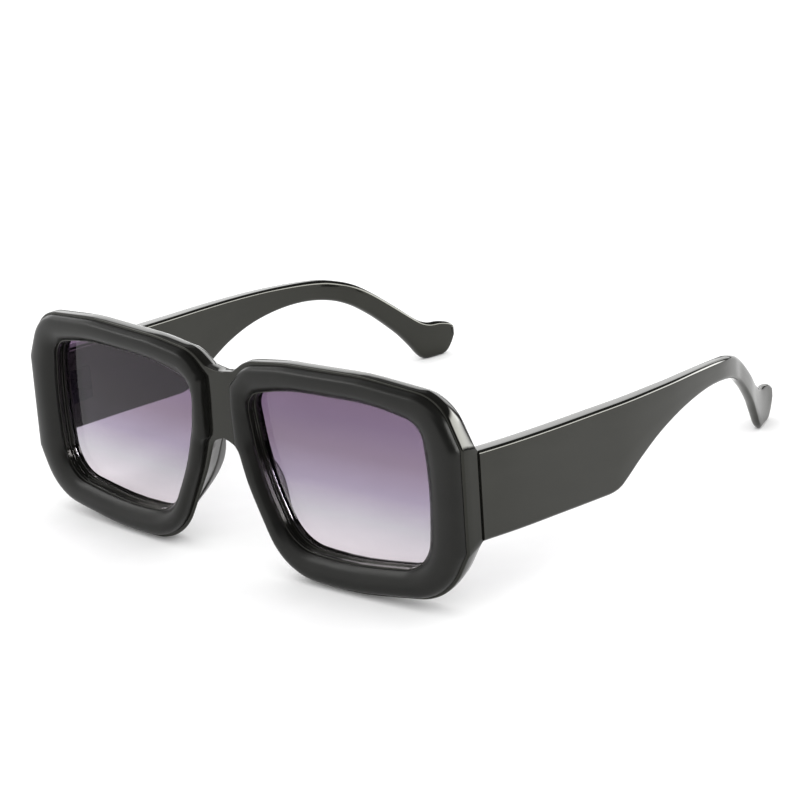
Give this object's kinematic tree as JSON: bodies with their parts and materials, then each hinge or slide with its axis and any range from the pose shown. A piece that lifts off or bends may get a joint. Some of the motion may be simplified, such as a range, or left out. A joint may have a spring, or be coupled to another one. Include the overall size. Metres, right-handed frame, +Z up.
{
  "type": "sunglasses",
  "caption": "Thick square sunglasses with padded rims, gradient tinted lenses, moulded nose pads and wide temples that fold on barrel hinges.",
  "frame": {"origin": "centre of the bounding box's footprint, on the surface that the rims and the temple tips stand on", "axes": "+X towards the wearer's left, +Y from the front back to the ears, +Z up"},
  "size_m": [0.1536, 0.1513, 0.0553],
  "materials": {
    "frame_plastic": "polished black acetate",
    "tinted_lens": "smoky purple tint, darker at the top",
    "pad_plastic": "polished black acetate, matched to the frame",
    "hinge_black": "black nickel-plated steel",
    "hinge_steel": "bright nickel-plated steel"
  },
  "bodies": {
    "front": {"front_frame": "frame_plastic", "left_lens": "tinted_lens", "right_lens": "tinted_lens", "left_nose_pad": "pad_plastic", "right_nose_pad": "pad_plastic", "left_front_leaf": "hinge_black", "right_front_leaf": "hinge_black", "left_hinge_screw": "hinge_steel", "right_hinge_screw": "hinge_steel", "left_front_pin_upper": "hinge_black", "left_front_pin_lower": "hinge_black", "right_front_pin_upper": "hinge_black", "right_front_pin_lower": "hinge_black"},
    "left_temple": {"left_temple": "frame_plastic", "left_temple_leaf": "hinge_black", "left_temple_pin_upper": "hinge_black", "left_temple_pin_lower": "hinge_black"},
    "right_temple": {"right_temple": "frame_plastic", "right_temple_leaf": "hinge_black", "right_temple_pin_upper": "hinge_black", "right_temple_pin_lower": "hinge_black"}
  },
  "joints": [
    {"name": "left_temple_fold", "type": "hinge", "parent": "front", "child": "left_temple", "pos_m": [0.069, -0.06225, 0.0287], "axis": [0, 0, 1], "range_deg": [0, 84]},
    {"name": "right_temple_fold", "type": "hinge", "parent": "front", "child": "right_temple", "pos_m": [-0.069, -0.06225, 0.0287], "axis": [0, 0, -1], "range_deg": [0, 70]}
  ]
}
